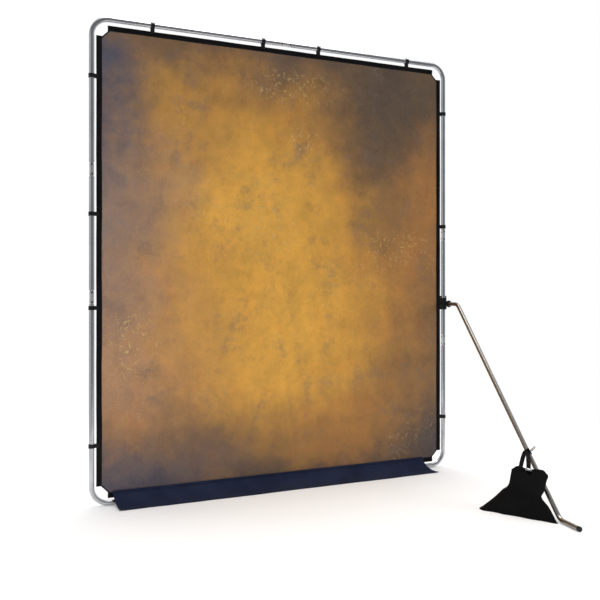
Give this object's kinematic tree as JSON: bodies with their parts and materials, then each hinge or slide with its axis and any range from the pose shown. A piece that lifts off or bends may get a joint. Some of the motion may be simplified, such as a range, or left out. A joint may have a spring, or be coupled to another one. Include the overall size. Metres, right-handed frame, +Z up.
{
  "type": "background support system",
  "caption": "Freestanding folding aluminium frame that holds a clip-on mottled cloth background, with a floor skirt and a clamped support leg weighted by a sandbag.",
  "frame": {"origin": "on the floor below the middle of the frame, in the plane of its tubes", "axes": "+Z up; +X along the frame towards the upright with the support leg; -Y to the front, where the leg stands"},
  "size_m": [2.01, 1.2745, 2.3025],
  "materials": {
    "frame_aluminium": "bright drawn tube",
    "leg_aluminium": "warm grey drawn tube",
    "hinge_grey": "satin cast",
    "pin_steel": "dark steel",
    "black_plastic": "moulded, fine grain",
    "liner_plastic": "smooth",
    "hem_black": "plain woven tape",
    "rod_fibre": "glass fibre rod",
    "painted_cloth": "mottled painted canvas",
    "skirt_navy": "heavy woven cloth",
    "bag_black": "coated woven nylon",
    "webbing_black": "woven webbing",
    "bright_steel": "polished"
  },
  "bodies": {
    "frame_base": {"left_lower_corner_tube": "frame_aluminium", "bottom_left_tube": "frame_aluminium", "bottom_right_corner_tube": "frame_aluminium", "right_lower_tube": "frame_aluminium", "lower_hinge_ends": "hinge_grey", "bottom_hinge_link": "hinge_grey", "bottom_hinge_pins": "pin_steel", "lower_clips": "black_plastic", "cover_cloth": "painted_cloth", "left_hem": "hem_black", "right_hem": "hem_black", "left_hem_rod": "rod_fibre", "right_hem_rod": "rod_fibre", "top_hem": "hem_black", "top_hem_rod": "rod_fibre", "bottom_hem": "hem_black", "bottom_hem_rod": "rod_fibre", "floor_skirt": "skirt_navy"},
    "left_middle": {"left_middle_tube": "frame_aluminium", "left_middle_hinge_ends": "hinge_grey", "left_middle_clip": "black_plastic", "left_lower_hinge_link": "hinge_grey", "left_lower_hinge_pins": "pin_steel", "left_upper_hinge_link": "hinge_grey", "left_upper_hinge_pins": "pin_steel"},
    "frame_top": {"top_left_corner_tube": "frame_aluminium", "left_upper_tube": "frame_aluminium", "top_right_tube": "frame_aluminium", "top_right_corner_tube": "frame_aluminium", "upper_hinge_ends": "hinge_grey", "top_hinge_link": "hinge_grey", "top_hinge_pins": "pin_steel", "upper_clips": "black_plastic"},
    "right_middle": {"right_middle_tube": "frame_aluminium", "right_middle_hinge_ends": "hinge_grey", "right_lower_hinge_link": "hinge_grey", "right_lower_hinge_pins": "pin_steel", "right_upper_hinge_link": "hinge_grey", "right_upper_hinge_pins": "pin_steel"},
    "clamp_sleeve": {"clamp_liner": "liner_plastic"},
    "clamp": {"clamp_body": "black_plastic"},
    "screw": {"clamp_screw": "black_plastic"},
    "collar": {"socket_collar": "black_plastic"},
    "leg": {"leg_upper_tube": "leg_aluminium", "leg_lower_tube": "leg_aluminium", "foot_cap": "black_plastic"},
    "leg_spring_button": {"leg_button": "bright_steel"},
    "bag": {"sandbag": "bag_black", "bag_ring": "bright_steel", "bag_strap": "webbing_black", "ring_strap": "webbing_black", "hook_body": "bright_steel"},
    "gate": {"hook_gate": "bright_steel"},
    "top_left_spring_button": {"top_left_button": "bright_steel"},
    "top_right_spring_button": {"top_right_button": "bright_steel"},
    "bottom_left_spring_button": {"bottom_left_button": "bright_steel"},
    "bottom_right_spring_button": {"bottom_right_button": "bright_steel"}
  },
  "joints": [
    {"name": "upright_fold", "type": "hinge", "parent": "frame_base", "child": "left_middle", "pos_m": [-0.9875, 0, 0.957], "axis": [0, -1, 0], "range_deg": [0, 90], "deforming": ["cover_cloth", "left_hem", "right_hem", "left_hem_rod", "right_hem_rod", "top_hem", "top_hem_rod"]},
    {"name": "top_fold", "type": "hinge", "parent": "left_middle", "child": "frame_top", "pos_m": [-0.9875, 0, 1.601], "axis": [0, -1, 0], "range_deg": [-90, 0]},
    {"name": "right_upright_fold", "type": "hinge", "parent": "frame_base", "child": "right_middle", "pos_m": [0.9875, 0, 0.699], "axis": [0, -1, 0], "range_deg": [0, 90]},
    {"name": "clamp_height", "type": "slide", "parent": "right_middle", "child": "clamp_sleeve", "axis": [0, 0, 1], "range_m": [0, 0.28]},
    {"name": "leg_swivel", "type": "hinge", "parent": "clamp_sleeve", "child": "clamp", "pos_m": [0.9875, 0, 0.93], "axis": [0, 0, 1], "range_deg": [-25, 180]},
    {"name": "clamp_screw_turn", "type": "hinge", "parent": "clamp", "child": "screw", "pos_m": [0.99176, 0.0297, 0.93], "axis": [0.1419, 0.9899, 0], "continuous": true},
    {"name": "collar_twist", "type": "hinge", "parent": "clamp", "child": "collar", "pos_m": [0.97898, -0.05939, 0.93], "axis": [0.1419, 0.9899, 0], "range_deg": [0, 60]},
    {"name": "leg_twist", "type": "hinge", "parent": "clamp", "child": "leg", "pos_m": [0.97898, -0.05939, 0.93], "axis": [0.1419, 0.9899, 0], "range_deg": [-90, 90]},
    {"name": "leg_button_press", "type": "slide", "parent": "leg", "child": "leg_spring_button", "axis": [0.9899, -0.1419, 0], "range_m": [0, 0.003], "stiffness_N_per_m": 900},
    {"name": "sandbag_swing", "type": "hinge", "parent": "leg", "child": "bag", "pos_m": [0.8649, -0.855, 0.2518], "axis": [-0.1013, -0.7063, -0.7006], "range_deg": [0, 60]},
    {"name": "hook_gate_swing", "type": "hinge", "parent": "bag", "child": "gate", "pos_m": [0.8745, -0.87269, 0.26825], "axis": [-0.1013, -0.7063, -0.7006], "range_deg": [0, 18], "stiffness_Nm_per_rad": 0.03},
    {"name": "top_left_button_press", "type": "slide", "parent": "frame_top", "child": "top_left_spring_button", "axis": [0, -1, 0], "range_m": [0, 0.003], "stiffness_N_per_m": 900},
    {"name": "bottom_left_button_press", "type": "slide", "parent": "frame_base", "child": "bottom_left_spring_button", "axis": [0, -1, 0], "range_m": [0, 0.003], "stiffness_N_per_m": 900},
    {"name": "top_right_button_press", "type": "slide", "parent": "frame_top", "child": "top_right_spring_button", "axis": [0, -1, 0], "range_m": [0, 0.003], "stiffness_N_per_m": 900},
    {"name": "bottom_right_button_press", "type": "slide", "parent": "frame_base", "child": "bottom_right_spring_button", "axis": [0, -1, 0], "range_m": [0, 0.003], "stiffness_N_per_m": 900}
  ],
  "couplings": [
    {"joint": "top_fold", "follows": "upright_fold", "ratio": -1},
    {"joint": "right_upright_fold", "follows": "upright_fold", "ratio": 1}
  ]
}
